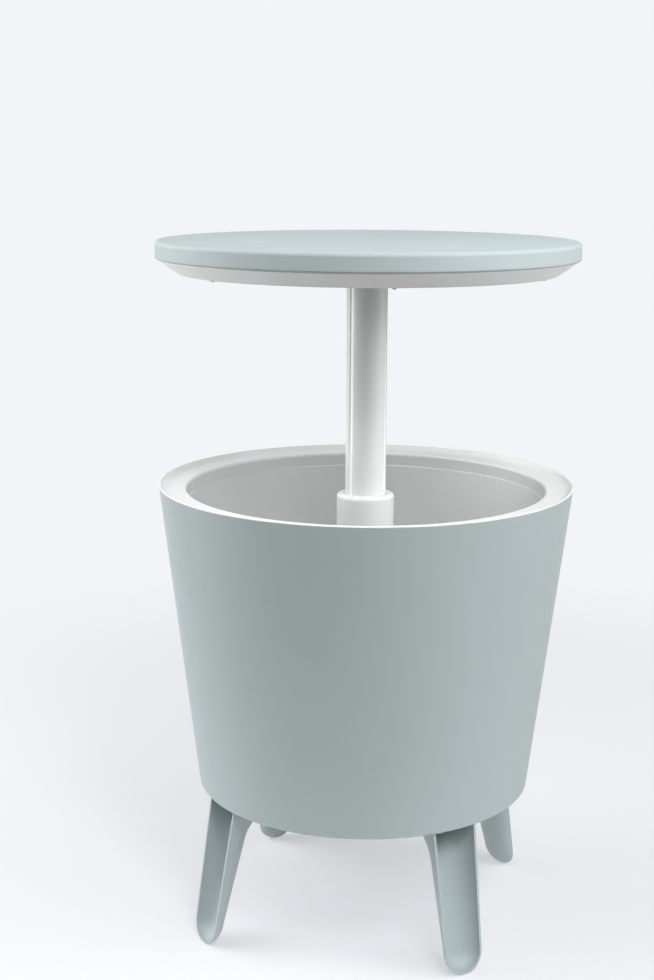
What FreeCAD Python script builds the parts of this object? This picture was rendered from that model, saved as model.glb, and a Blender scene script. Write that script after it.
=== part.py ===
import FreeCAD, Part
import math
import os

# Ice bucket coffee table: a round tub on four splayed legs, with a table top on a centre column.
# The top lifts on the column for use and slides down onto the rim as the tub's lid.
# Millimetres, +Z up. The origin is on the floor under the middle of the tub, and the top is raised.

# Driving dimensions, outside sizes
TOP_R = 247.5
TOP_Z = 828.0
TOP_EDGE_H = 21.0
RIM_R = 247.2
RIM_Z = 541.6
BASE_R = 201.8
BASE_Z = 169.0
COLUMN_R = 24.25
COLLAR_R = 34.3
COLLAR_Z = 527.5
LINER_FLOOR_Z = 298.0
PAD_Z = 788.0

# Driving dimensions, walls and fits
SHELL_WALL = 2.6
LINER_WALL = 2.6
TOP_WALL = 2.8
RUN_GAP = 0.35
SEAT_GAP = 0.1
STOP_GAP = 0.2

# Rim of the tub: the liner's edge is rolled over the shell's, and curves down to a flat flange inside
LIP_W = 1.6
ROLL_H = 1.2
ROLL_W = 2.2
ROLL_FOOT_R = 241.5
ROLL_CURVE = 8.0
SHELL_TOP_Z = RIM_Z - ROLL_H - SEAT_GAP
FLANGE_DROP = 5.6
FLANGE_Z = RIM_Z - FLANGE_DROP
FLANGE_SEAT_Z = FLANGE_Z - LINER_WALL
LEDGE_H = 4.0
LEDGE_R = 239.5
MOUTH_R = 214.6
STEP_Z = 520.0
STEP_W = 2.2
LINER_FLOOR_R = 185.5

# Lift and twist of the top
LIFT = PAD_Z - FLANGE_Z - STOP_GAP
TWIST = 30.0
GROOVES = 3
GROOVE_AZ = -6.0
GROOVE_W = 5.0
GROOVE_D = 1.2

# Column and what guides it
COLUMN_WALL = 3.0
COLUMN_FOOT_Z = 458.0
COLUMN_HEAD_Z = 819.0
SLIDER_Z = 456.0
SLIDER_H = 26.0
SLIDER_R = 27.05
LUG_R = 29.2
LUG_W = 7.4
LUG_H = 8.0
LUG_Z = 468.0
GUIDE_IN_R = SLIDER_R + RUN_GAP
GUIDE_OUT_R = 29.5
GUIDE_FOOT_Z = 176.0
GUIDE_HEAD_Z = 489.0
CHIMNEY_IN_R = 29.8
CHIMNEY_OUT_R = 32.0
CHIMNEY_Z = 515.9
CHIMNEY_FOOT_R = 44.0
CHIMNEY_FOOT_H = 2.6
COLLAR_H = 51.6
COLLAR_ROUND = 5.0
GUIDE_BASE_R = 45.0
SOCKET_R = 33.5
SOCKET_H = 27.0

# Keyed ring in the chimney's mouth
KEY_RING_R = 31.6
KEY_RING_LIFT = 0.3
KEY_RING_H = 3.5
KEY_SLEEVE_H = 23.4

# Legs
LEGS = {"leg_rear_right": 45, "leg_rear_left": 135, "leg_front_left": 225, "leg_front_right": 315}
LEG_WALL = 2.8
LEG_ROOF = 4.0
LEG_FOOT_R = 224.6
LEG_HEAD_R = 197.1
LEG_FOOT_HALF_W = 25.3
LEG_HEAD_HALF_W = 29.5
LEG_TIP_Z = 25.3
LEG_TIP_DEPTH = 20.0
LEG_TAPER = 19.7
LEG_FLARE = 50.0
LEG_FLARE_Z = 126.0
LEG_NOTCH = 6.5
FOOT_FLAT = 0.5
LEG_SCREW_RING_R = 185.0
LEG_SCREW_SIDE = 13.0
LEG_BOSS_R = 6.0
LEG_BOSS_H = 14.0

# Drain
DRAIN_R = 120.0
DRAIN_AZ = 90.0
SPOUT_R = 11.0
SPOUT_BORE_R = 8.2
SPOUT_FOOT_Z = 158.0
SPOUT_FLANGE_R = 18.0
SPOUT_FLANGE_H = 2.5
GASKET_R = 17.0
GASKET_H = 1.0
NUT_R = 18.5
NUT_H = 7.0
KNOB_R = 13.0
KNOB_H = 9.0
KNOB_GAP = 0.4
KNOB_NOTCHES = 12
PLUG_STEM_H = 16.0
SEAL_Z = SPOUT_FOOT_Z + 6.0
SEAL_H = 2.4
SEAL_SEAT_R = 6.4
SEAL_WIRE_R = 0.85

# Screws: shank radius, its clearance hole, its pilot hole and its head
SCREW_R = 1.9
SCREW_CLEAR_R = 2.2
SCREW_PILOT_R = 1.95
SCREW_HEAD_R = 4.0
SCREW_HEAD_H = 2.6
SCREW_WELL = 4.0

# Screws that go in from the side, at the column's foot and head
SIDE_SCREW_R = 1.45
SIDE_HOLE_R = 1.5
SIDE_CLEAR_R = 1.6
SIDE_HEAD_R = 2.8
FOOT_SCREW_Z = SLIDER_Z + 20.0
HEAD_SCREW_Z = COLUMN_HEAD_Z - 8.0
HUB_SOCKET_W = 4.15

TOP_SCREWS = 8
TOP_SCREW_RING_R = 195.0
TOP_SCREW_AZ = 22.5
TOP_BOSS_Z = TOP_Z - 32.0
HUB_SCREWS = 4
HUB_SCREW_RING_R = 50.0
HUB_PLATE_Z = TOP_Z - 32.0
HUB_PLATE_H = 4.0
HUB_R = 62.0
BASE_SCREWS = 4
BASE_SCREW_RING_R = 39.0
BASE_SCREW_AZ = 45.0

# Ribs under the top panel
RIBS = 12
RIB_AZ = 15.0
RIB_W = 2.0
RIB_H = 12.0
RIB_RINGS_R = (64.0, 150.0, 233.0)

# Lower shell of the top, and the soft pads on it
UNDERSIDE_Z = PAD_Z + 1.6
SKIRT_W = 3.0
SEAM_GAP = 0.9
SEAM_DROP = 1.4
SEAM_R = TOP_R - SKIRT_W - SEAM_GAP
SEAM_RISE = 4.0
DISH_R = TOP_R - 26.5
PADS = 6
PAD_RING_R = 213.5
PAD_AZ = -70.0
PAD_R = 2.2
PAD_STEM_R = 1.2

ORIGIN = FreeCAD.Vector(0, 0, 0)
UP = FreeCAD.Vector(0, 0, 1)


def point(x, z):
    return FreeCAD.Vector(x, 0, z)


def rounded_wire(corners):
    """A closed wire in the XZ plane through corners (x, z, radius of the corner's arc)."""
    count = len(corners)
    turns = []
    for i, (x, z, radius) in enumerate(corners):
        here = point(x, z)
        if radius == 0:
            turns.append((here, None, here))
            continue
        before = (point(*corners[i - 1][:2]) - here).normalize()
        after = (point(*corners[(i + 1) % count][:2]) - here).normalize()
        half = before.getAngle(after) / 2
        reach = radius / math.tan(half)
        inward = (before + after).normalize()
        middle = here + inward * (radius / math.sin(half) - radius)
        turns.append((here + before * reach, middle, here + after * reach))
    edges = []
    for i, (start, middle, end) in enumerate(turns):
        if middle is not None:
            edges.append(Part.Arc(start, middle, end).toShape())
        edges.append(Part.LineSegment(end, turns[(i + 1) % count][0]).toShape())
    return Part.Wire(edges)


def turned(corners):
    """A solid of revolution about Z from its rounded outline."""
    return Part.Face(rounded_wire(corners)).revolve(ORIGIN, UP, 360)


def disc(radius, low, high):
    return Part.makeCylinder(radius, high - low, FreeCAD.Vector(0, 0, low))


def ring(outer, inner, low, high):
    return disc(outer, low, high).cut(disc(inner, low, high))


def spun(shape, angle):
    copy = shape.copy()
    copy.rotate(ORIGIN, UP, angle)
    return copy


def placed(shape, radius, angle):
    """A copy of a shape made about the Z axis, moved out to a radius at an angle."""
    copy = shape.copy()
    copy.translate(FreeCAD.Vector(radius, 0, 0))
    return spun(copy, angle)


def around(shape, count, first=0.0):
    return [spun(shape, first + 360.0 * i / count) for i in range(count)]


def circle_of(shape, count, radius, first=0.0):
    return [placed(shape, radius, first + 360.0 * i / count) for i in range(count)]


def joined(shapes):
    return shapes[0].multiFuse(shapes[1:]).removeSplitter()


def radial_block(inner, outer, width, low, high):
    """A block across the X axis, from one radius to another."""
    return Part.makeBox(outer - inner, width, high - low, FreeCAD.Vector(inner, -width / 2, low))


def radial_cylinder(radius, inner, outer, z):
    """A cylinder along the X axis, from one distance to another."""
    return Part.makeCylinder(radius, outer - inner, FreeCAD.Vector(inner, 0, z), FreeCAD.Vector(1, 0, 0))


def screw_up(seat_z, tip_z):
    """A pan-head screw driven upwards, its head under the seat."""
    head = disc(SCREW_HEAD_R, seat_z - SCREW_HEAD_H, seat_z)
    head = head.makeFillet(1.2, [head.Edges[2]])
    recess = Part.makeBox(1.2, 4.4, 1.4, FreeCAD.Vector(-0.6, -2.2, seat_z - SCREW_HEAD_H))
    return head.cut(recess).cut(spun(recess, 90)).fuse(disc(SCREW_R, seat_z, tip_z)).removeSplitter()


def save(node, shape):
    """Writes one node: a solid, or a list of separate like solids."""
    solid = Part.makeCompound(shape) if isinstance(shape, list) else shape
    solid.exportStep("parts/" + node + ".step")
    print(node, "valid", solid.isValid(), "solids", len(solid.Solids), "cm3", round(solid.Volume / 1000, 1))


def shell_r(z):
    """Outside radius of the tub at a height."""
    return BASE_R + (RIM_R - BASE_R) * (z - BASE_Z) / (RIM_Z - BASE_Z)


def outer_shell():
    """Tapering tub wall and bottom, with a thin upper edge, a ledge for the liner and screw bosses."""
    floor_z = BASE_Z + 3.0
    lip_r = RIM_R - LIP_W
    ledge_low = FLANGE_SEAT_Z - LEDGE_H
    body = turned([
        (0, BASE_Z, 0),
        (BASE_R, BASE_Z, 3.0),
        (shell_r(SHELL_TOP_Z), SHELL_TOP_Z, 0.4),
        (lip_r, SHELL_TOP_Z, 0.3),
        (lip_r, FLANGE_SEAT_Z, 0),
        (LEDGE_R, FLANGE_SEAT_Z, 0.5),
        (LEDGE_R, ledge_low, 0.5),
        (shell_r(ledge_low) - SHELL_WALL, ledge_low, 0),
        (shell_r(floor_z) - SHELL_WALL, floor_z, 6.0),
        (0, floor_z, 0),
    ])
    body = joined([body] + at_leg_screws(disc(LEG_BOSS_R, floor_z - 1, floor_z + LEG_BOSS_H)))
    cutters = at_leg_screws(disc(SCREW_PILOT_R, BASE_Z - 1, floor_z + LEG_BOSS_H - 2))
    base_hole = disc(SCREW_CLEAR_R, BASE_Z - 1, floor_z + 1)
    cutters += circle_of(base_hole, BASE_SCREWS, BASE_SCREW_RING_R, BASE_SCREW_AZ)
    cutters.append(placed(disc(SPOUT_R + RUN_GAP, BASE_Z - 1, floor_z + 1), DRAIN_R, DRAIN_AZ))
    for cutter in cutters:
        body = body.cut(cutter)
    return body


def inner_liner():
    """Liner: rolled rim, flange, small step, tapering wall, and a floor with holes for chimney and drain."""
    flange_r = RIM_R - LIP_W - RUN_GAP
    roll_low = RIM_Z - ROLL_H
    floor_low = LINER_FLOOR_Z - LINER_WALL
    skirt_out = LEDGE_R - RUN_GAP
    bead_r = LEDGE_R + 1.1
    bead_top = FLANGE_SEAT_Z - LEDGE_H - STOP_GAP
    wall_top_r = MOUTH_R - STEP_W
    chimney_hole = CHIMNEY_OUT_R + SEAT_GAP
    body = turned([
        (RIM_R, roll_low, 0.3),
        (RIM_R, RIM_Z, 0.6),
        (RIM_R - ROLL_W, RIM_Z, 0.9),
        (ROLL_FOOT_R, FLANGE_Z, ROLL_CURVE),
        (MOUTH_R, FLANGE_Z, 2.5),
        (MOUTH_R - 0.4, STEP_Z, 0.8),
        (wall_top_r, STEP_Z - 0.6, 0.8),
        (LINER_FLOOR_R, LINER_FLOOR_Z, 20.0),
        (chimney_hole, LINER_FLOOR_Z, 0),
        (chimney_hole, floor_low, 0),
        (LINER_FLOOR_R - 0.3, floor_low, 22.0),
        (wall_top_r + LINER_WALL, STEP_Z - 3.6, 0.8),
        (MOUTH_R - 0.4 + LINER_WALL, STEP_Z - 3.0, 0.8),
        (MOUTH_R + LINER_WALL, FLANGE_SEAT_Z, 1.5),
        (skirt_out - 2.4, FLANGE_SEAT_Z, 0),
        (skirt_out - 2.4, bead_top - 3.0, 0),
        (skirt_out, bead_top - 3.0, 0),
        (bead_r, bead_top - 1.2, 0),
        (bead_r, bead_top, 0),
        (skirt_out, bead_top, 0),
        (skirt_out, FLANGE_SEAT_Z, 0),
        (flange_r, FLANGE_SEAT_Z, 0),
        (flange_r, roll_low, 0),
    ])
    drain_hole = disc(SPOUT_R + RUN_GAP, floor_low - 1, LINER_FLOOR_Z + 1)
    return body.cut(placed(drain_hole, DRAIN_R, DRAIN_AZ))


def chimney():
    """Tube round the guide tube, welded into the liner's floor by the flange at its foot."""
    floor_top = LINER_FLOOR_Z + CHIMNEY_FOOT_H
    return turned([
        (CHIMNEY_IN_R, LINER_FLOOR_Z - LINER_WALL, 0),
        (CHIMNEY_OUT_R, LINER_FLOOR_Z - LINER_WALL, 0),
        (CHIMNEY_OUT_R, LINER_FLOOR_Z, 0),
        (CHIMNEY_FOOT_R, LINER_FLOOR_Z, 0),
        (CHIMNEY_FOOT_R, floor_top, 1.8),
        (CHIMNEY_OUT_R, floor_top, 5.0),
        (CHIMNEY_OUT_R, CHIMNEY_Z, 0.6),
        (CHIMNEY_IN_R, CHIMNEY_Z, 0.6),
    ])


def collar_cap():
    """Cap on the chimney with a rounded shoulder and the hole the column comes out of."""
    inner = CHIMNEY_OUT_R + SEAT_GAP
    plate_low = CHIMNEY_Z + KEY_RING_LIFT + KEY_RING_H + KEY_RING_LIFT
    return turned([
        (COLLAR_R, COLLAR_Z - COLLAR_H, 0.5),
        (COLLAR_R, COLLAR_Z, COLLAR_ROUND),
        (COLUMN_R + 0.4, COLLAR_Z, 1.0),
        (COLUMN_R + 0.4, plate_low, 0.5),
        (inner, plate_low, 0),
        (inner, COLLAR_Z - COLLAR_H, 0),
    ])


def index_ring():
    """Keyed ring in the chimney's mouth: it turns with the column, which slides through it."""
    low = CHIMNEY_Z - KEY_SLEEVE_H
    flange_low = CHIMNEY_Z + KEY_RING_LIFT
    flange_top = flange_low + KEY_RING_H
    bore_r = COLUMN_R + RUN_GAP
    sleeve_r = CHIMNEY_IN_R - RUN_GAP
    body = turned([
        (bore_r, low, 0.4),
        (sleeve_r, low, 0.8),
        (sleeve_r, flange_low, 0),
        (KEY_RING_R, flange_low, 0.4),
        (KEY_RING_R, flange_top, 0.4),
        (bore_r, flange_top, 0.4),
    ])
    tip_r = COLUMN_R - GROOVE_D + RUN_GAP
    key = radial_block(tip_r, bore_r + 1, GROOVE_W - 0.7, low + 1, flange_top - 1)
    return joined([body] + around(key, GROOVES, GROOVE_AZ))


def guide_base():
    """Socket on the tub's bottom that holds the guide tube, with four screw bosses."""
    low = BASE_Z + 3.0
    socket_top = GUIDE_FOOT_Z + SOCKET_H
    bore_r = GUIDE_OUT_R + SEAT_GAP
    body = turned([
        (0, low, 0),
        (GUIDE_BASE_R, low, 0.6),
        (GUIDE_BASE_R, GUIDE_FOOT_Z, 1.0),
        (SOCKET_R, GUIDE_FOOT_Z, 1.5),
        (SOCKET_R, socket_top, 1.0),
        (bore_r, socket_top, 0.5),
        (bore_r, GUIDE_FOOT_Z, 0),
        (0, GUIDE_FOOT_Z, 0),
    ])
    boss = disc(5.0, GUIDE_FOOT_Z - 1, GUIDE_FOOT_Z + 10)
    body = joined([body] + circle_of(boss, BASE_SCREWS, BASE_SCREW_RING_R, BASE_SCREW_AZ))
    body = body.cut(disc(bore_r, GUIDE_FOOT_Z, socket_top + 1))
    pilot = disc(SCREW_PILOT_R, low - 1, GUIDE_FOOT_Z + 9)
    for hole in circle_of(pilot, BASE_SCREWS, BASE_SCREW_RING_R, BASE_SCREW_AZ):
        body = body.cut(hole)
    return body


def sector(inner, outer, start, sweep, low, high):
    """A piece of a ring, from one angle over a sweep."""
    corners = [(inner, low), (outer, low), (outer, high), (inner, high), (inner, low)]
    face = Part.Face(Part.makePolygon([point(x, z) for x, z in corners]))
    return spun(face, start).revolve(ORIGIN, UP, sweep)


def guide_tube():
    """Fixed tube with three long slots that turn aside at both ends, where the lugs lock."""
    tube = ring(GUIDE_OUT_R, GUIDE_IN_R, GUIDE_FOOT_Z, GUIDE_HEAD_Z)
    half = math.degrees((LUG_W / 2 + 0.4) / GUIDE_IN_R)
    top = LUG_Z + LUG_H + 0.4
    bottom = LUG_Z - LIFT - 0.4
    inner = GUIDE_IN_R - 1
    outer = GUIDE_OUT_R + 1
    slot = sector(inner, outer, -half, 2 * half, bottom, top)
    upper_turn = sector(inner, outer, -half, 2 * half + TWIST, LUG_Z - 0.4, top)
    lower_turn = sector(inner, outer, -half, 2 * half + TWIST, bottom, bottom + LUG_H + 0.8)
    path = slot.fuse([upper_turn, lower_turn]).removeSplitter()
    for cutter in around(path, GROOVES, GROOVE_AZ + 60):
        tube = tube.cut(cutter)
    return tube


def column():
    """Tube with three lengthwise grooves and the holes of its foot and head screws."""
    body = ring(COLUMN_R, COLUMN_R - COLUMN_WALL, COLUMN_FOOT_Z, COLUMN_HEAD_Z)
    groove = radial_block(COLUMN_R - GROOVE_D, COLUMN_R + 1, GROOVE_W, COLUMN_FOOT_Z - 1, COLUMN_HEAD_Z + 1)
    cutters = around(groove, GROOVES, GROOVE_AZ)
    foot_hole = radial_cylinder(SIDE_HOLE_R, COLUMN_R - COLUMN_WALL - 1, COLUMN_R + 1, FOOT_SCREW_Z)
    head_hole = radial_cylinder(SIDE_HOLE_R, COLUMN_R - COLUMN_WALL - 1, COLUMN_R + 1, HEAD_SCREW_Z)
    cutters += around(foot_hole, GROOVES, GROOVE_AZ + 30)
    cutters += around(head_hole, GROOVES, GROOVE_AZ + 60)
    for cutter in cutters:
        body = body.cut(cutter)
    return body


def column_slider():
    """Bush on the column's foot: it slides in the guide tube and carries the three lugs."""
    bore_r = COLUMN_R + SEAT_GAP
    top = SLIDER_Z + SLIDER_H
    body = turned([
        (COLUMN_R - COLUMN_WALL, SLIDER_Z, 0),
        (SLIDER_R, SLIDER_Z, 1.0),
        (SLIDER_R, top, 0.8),
        (bore_r, top, 0),
        (bore_r, COLUMN_FOOT_Z, 0),
        (COLUMN_R - COLUMN_WALL, COLUMN_FOOT_Z, 0),
    ])
    lug = radial_block(bore_r + 1, LUG_R, LUG_W, LUG_Z, LUG_Z + LUG_H)
    lug = lug.common(ring(LUG_R, bore_r + 1, LUG_Z, LUG_Z + LUG_H))
    body = joined([body] + around(lug, GROOVES, GROOVE_AZ + 60))
    hole = radial_cylinder(SIDE_CLEAR_R, bore_r - 1, SLIDER_R + 1, FOOT_SCREW_Z)
    head = radial_cylinder(SIDE_HEAD_R + 0.1, SLIDER_R - 1.3, SLIDER_R + 1, FOOT_SCREW_Z)
    for cutter in around(hole.fuse(head), GROOVES, GROOVE_AZ + 30):
        body = body.cut(cutter)
    return body


def slider_screw():
    seat_r = SLIDER_R - 1.3
    shank = radial_cylinder(SIDE_SCREW_R, COLUMN_R - COLUMN_WALL + 0.4, seat_r, FOOT_SCREW_Z)
    head = radial_cylinder(SIDE_HEAD_R, seat_r, SLIDER_R - 0.1, FOOT_SCREW_Z)
    return shank.fuse(head).removeSplitter()


def column_hub():
    """Flange inside the top that grips the column's head."""
    plate_top = HUB_PLATE_Z + HUB_PLATE_H
    bore_r = COLUMN_R + SEAT_GAP
    socket_r = bore_r + HUB_SOCKET_W
    body = turned([
        (bore_r, HUB_PLATE_Z, 0),
        (HUB_R, HUB_PLATE_Z, 1.0),
        (HUB_R, plate_top, 1.0),
        (socket_r, plate_top, 3.0),
        (socket_r, COLUMN_HEAD_Z, 1.0),
        (bore_r, COLUMN_HEAD_Z, 0),
    ])
    cutters = circle_of(disc(SCREW_CLEAR_R, HUB_PLATE_Z - 1, plate_top + 1), HUB_SCREWS, HUB_SCREW_RING_R)
    side_hole = radial_cylinder(SIDE_CLEAR_R, bore_r - 1, socket_r + 1, HEAD_SCREW_Z)
    cutters += around(side_hole, GROOVES, GROOVE_AZ + 60)
    for cutter in cutters:
        body = body.cut(cutter)
    return body


def hub_clamp_screw():
    seat_r = COLUMN_R + SEAT_GAP + HUB_SOCKET_W + SEAT_GAP
    shank = radial_cylinder(SIDE_SCREW_R, COLUMN_R - COLUMN_WALL + 0.4, seat_r, HEAD_SCREW_Z)
    head = radial_cylinder(SIDE_HEAD_R, seat_r, seat_r + 2, HEAD_SCREW_Z)
    return shank.fuse(head).removeSplitter()


def top_panel():
    """Table top: a flat panel with a rounded edge and a skirt, ribs and screw bosses under it."""
    under = TOP_Z - TOP_WALL
    edge_low = TOP_Z - TOP_EDGE_H
    skirt_in = TOP_R - SKIRT_W
    body = turned([
        (0, under, 0),
        (0, TOP_Z, 0),
        (TOP_R, TOP_Z, 4.5),
        (TOP_R, edge_low, 2.2),
        (skirt_in, edge_low, 0.4),
        (skirt_in, under, 2.0),
    ])
    rib_low = under - RIB_H
    rib = radial_block(RIB_RINGS_R[0] - RIB_W, RIB_RINGS_R[-1] - 1, RIB_W, rib_low, under + 1)
    pieces = [body] + around(rib, RIBS, RIB_AZ)
    pieces += [ring(radius, radius - RIB_W, rib_low, under + 1) for radius in RIB_RINGS_R]
    hub_boss = disc(5.5, HUB_PLATE_Z + HUB_PLATE_H, under + 1)
    pieces += circle_of(hub_boss, HUB_SCREWS, HUB_SCREW_RING_R)
    edge_boss = disc(5.0, TOP_BOSS_Z, under + 1)
    pieces += circle_of(edge_boss, TOP_SCREWS, TOP_SCREW_RING_R, TOP_SCREW_AZ)
    body = joined(pieces)
    pilot = disc(SCREW_PILOT_R, TOP_BOSS_Z - 1, under - 10)
    cutters = circle_of(pilot, HUB_SCREWS, HUB_SCREW_RING_R)
    cutters += circle_of(pilot, TOP_SCREWS, TOP_SCREW_RING_R, TOP_SCREW_AZ)
    for cutter in cutters:
        body = body.cut(cutter)
    return body


def top_underside():
    """Lower shell of the top: a shallow dish whose edge stands up inside the panel's skirt."""
    low = UNDERSIDE_Z
    floor = low + LINER_WALL
    edge_low = TOP_Z - TOP_EDGE_H
    shoulder = edge_low - SEAM_DROP
    edge_top = edge_low + SEAM_RISE
    inner_r = SEAM_R - LINER_WALL
    body = turned([
        (COLUMN_R + RUN_GAP, low, 0.5),
        (DISH_R, low, 12.0),
        (SEAM_R, shoulder, 0.6),
        (SEAM_R, edge_top, 0.5),
        (inner_r, edge_top, 0.5),
        (inner_r, shoulder + 1.0, 1.0),
        (DISH_R - 1.0, floor, 9.0),
        (COLUMN_R + RUN_GAP, floor, 0.5),
    ])
    cup = disc(6.0, floor - 1, TOP_BOSS_Z)
    body = joined([body] + circle_of(cup, TOP_SCREWS, TOP_SCREW_RING_R, TOP_SCREW_AZ))
    well = disc(SCREW_HEAD_R + 0.5, low - 1, low + SCREW_WELL).fuse(disc(SCREW_CLEAR_R, low, TOP_Z))
    pad_hole = disc(PAD_STEM_R + 0.1, low - 1, floor + 1)
    cutters = circle_of(well, TOP_SCREWS, TOP_SCREW_RING_R, TOP_SCREW_AZ)
    cutters += circle_of(pad_hole, PADS, PAD_RING_R, PAD_AZ)
    for cutter in cutters:
        body = body.cut(cutter)
    return body


def lid_bumper():
    """Soft pad with a stem that is pushed through the lower shell."""
    stem_top = UNDERSIDE_Z + LINER_WALL + 0.6
    return turned([
        (0, PAD_Z, 0),
        (PAD_R, PAD_Z, 0.7),
        (PAD_R, UNDERSIDE_Z, 0),
        (PAD_STEM_R, UNDERSIDE_Z, 0),
        (PAD_STEM_R, stem_top, 0.3),
        (0, stem_top, 0),
    ])


def leg_face_r(z):
    """How far out the flat open face of a leg stands at a height."""
    return LEG_FOOT_R + (LEG_HEAD_R - LEG_FOOT_R) * z / BASE_Z


def leg_halves(z, inset):
    """Half depth and half width of the leg's ellipse at a height. Both close in at the rounded tip."""
    if z < LEG_TIP_Z:
        close = math.sqrt(1 - ((LEG_TIP_Z - z) / (LEG_TIP_Z + FOOT_FLAT - inset)) ** 2)
        return (LEG_TIP_DEPTH - inset) * close, (LEG_FOOT_HALF_W - inset) * close
    share = (z - LEG_TIP_Z) / (BASE_Z - LEG_TIP_Z)
    flare = max(0.0, (z - LEG_FLARE_Z) / (BASE_Z - LEG_FLARE_Z))
    depth = LEG_TIP_DEPTH + LEG_TAPER * share + LEG_FLARE * flare ** 2.6
    return depth - inset, LEG_FOOT_HALF_W + (LEG_HEAD_HALF_W - LEG_FOOT_HALF_W) * share - inset


def leg_section(z, inset):
    """A smooth closed curve through an ellipse across the leg, its centre on the open face."""
    depth, width = leg_halves(z, inset)
    angles = [math.radians(15 * i) for i in range(24)]
    spots = [FreeCAD.Vector(leg_face_r(z) + depth * math.cos(a), width * math.sin(a), z) for a in angles]
    curve = Part.BSplineCurve()
    curve.interpolate(spots, PeriodicFlag=True)
    return Part.Wire(curve.toShape())


def leg_bulk(inset, top):
    """The leg's round form on both sides of its open face, from the tip to a height."""
    tall = LEG_TIP_Z + FOOT_FLAT - inset
    first = math.acos(LEG_TIP_Z / tall) if inset == 0 else math.radians(4)
    turns = [first + (math.pi / 2 - first) * i / 6 for i in range(6)]
    rises = [1 - (1 - i / 13) ** 1.5 for i in range(14)]
    heights = [LEG_TIP_Z - tall * math.cos(turn) for turn in turns]
    heights += [LEG_TIP_Z + (top - LEG_TIP_Z) * rise for rise in rises]
    return Part.makeLoft([leg_section(z, inset) for z in heights], True, False)


def leg():
    """One scooped leg, standing on the +X side: open outwards, with a roof that is screwed to the tub
    and set back a little from the open face."""
    body = leg_bulk(0.0, BASE_Z).cut(leg_bulk(LEG_WALL, BASE_Z - LEG_ROOF))
    notch_half_w = LEG_HEAD_HALF_W - LEG_WALL - 0.4
    notch_low = BASE_Z - LEG_ROOF - 1
    notch = Part.makeBox(2 * LEG_NOTCH, 2 * notch_half_w, LEG_ROOF + 2,
                         FreeCAD.Vector(LEG_HEAD_R - LEG_NOTCH, -notch_half_w, notch_low))
    body = body.cut(notch)
    half_span = 100.0
    corners = [(leg_face_r(0), 0), (leg_face_r(BASE_Z), BASE_Z), (0, BASE_Z), (0, 0), (leg_face_r(0), 0)]
    behind = Part.Face(Part.makePolygon([FreeCAD.Vector(x, -half_span, z) for x, z in corners]))
    body = body.common(behind.extrude(FreeCAD.Vector(0, 2 * half_span, 0)))
    for side in (-1, 1):
        hole = disc(SCREW_CLEAR_R, BASE_Z - LEG_ROOF - 1, BASE_Z + 1)
        hole.translate(FreeCAD.Vector(LEG_SCREW_RING_R, side * LEG_SCREW_SIDE, 0))
        body = body.cut(hole)
    return body


def at_leg_screws(shape):
    """Copies of a shape made about Z, one at each leg screw."""
    copies = []
    for angle in LEGS.values():
        for side in (-1, 1):
            copy = shape.copy()
            copy.translate(FreeCAD.Vector(LEG_SCREW_RING_R, side * LEG_SCREW_SIDE, 0))
            copies.append(spun(copy, angle))
    return copies


def drain_spout():
    """Tube through both floors of the tub, with a flange on the liner's floor."""
    flange_low = LINER_FLOOR_Z + GASKET_H
    flange_top = flange_low + SPOUT_FLANGE_H
    return turned([
        (SPOUT_BORE_R, SPOUT_FOOT_Z, 0.4),
        (SPOUT_R, SPOUT_FOOT_Z, 0.6),
        (SPOUT_R, flange_low, 0),
        (SPOUT_FLANGE_R, flange_low, 0.4),
        (SPOUT_FLANGE_R, flange_top, 1.2),
        (SPOUT_BORE_R, flange_top, 1.5),
    ])


def drain_nut():
    """Hexagon nut under the tub, on the spout."""
    turns = [math.radians(60 * i) for i in range(7)]
    low = BASE_Z - NUT_H
    corners = [FreeCAD.Vector(NUT_R * math.cos(turn), NUT_R * math.sin(turn), low) for turn in turns]
    hexagon = Part.Face(Part.makePolygon(corners)).extrude(FreeCAD.Vector(0, 0, NUT_H))
    return hexagon.cut(disc(SPOUT_R + SEAT_GAP, low - 1, BASE_Z + 1))


def drain_plug():
    """Push-in plug: a grooved stem and a gripping knob below the spout."""
    stem_r = SPOUT_BORE_R - RUN_GAP
    stem_top = SPOUT_FOOT_Z + PLUG_STEM_H
    knob_top = SPOUT_FOOT_Z - KNOB_GAP
    knob_low = knob_top - KNOB_H
    body = turned([
        (0, knob_low, 0),
        (KNOB_R, knob_low, 1.5),
        (KNOB_R, knob_top, 1.0),
        (stem_r, knob_top, 0),
        (stem_r, SEAL_Z, 0),
        (SEAL_SEAT_R, SEAL_Z, 0),
        (SEAL_SEAT_R, SEAL_Z + SEAL_H, 0),
        (stem_r, SEAL_Z + SEAL_H, 0),
        (stem_r, stem_top, 1.5),
        (0, stem_top, 0),
    ])
    for notch in circle_of(disc(1.6, knob_low - 1, knob_top + 0.1), KNOB_NOTCHES, KNOB_R + 0.8):
        body = body.cut(notch)
    return body


def plug_seal():
    """Sealing ring in the plug's groove."""
    middle = FreeCAD.Vector(0, 0, SEAL_Z + SEAL_H / 2)
    return Part.makeTorus(SEAL_SEAT_R + SEAL_WIRE_R + 0.05, SEAL_WIRE_R, middle)


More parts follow.
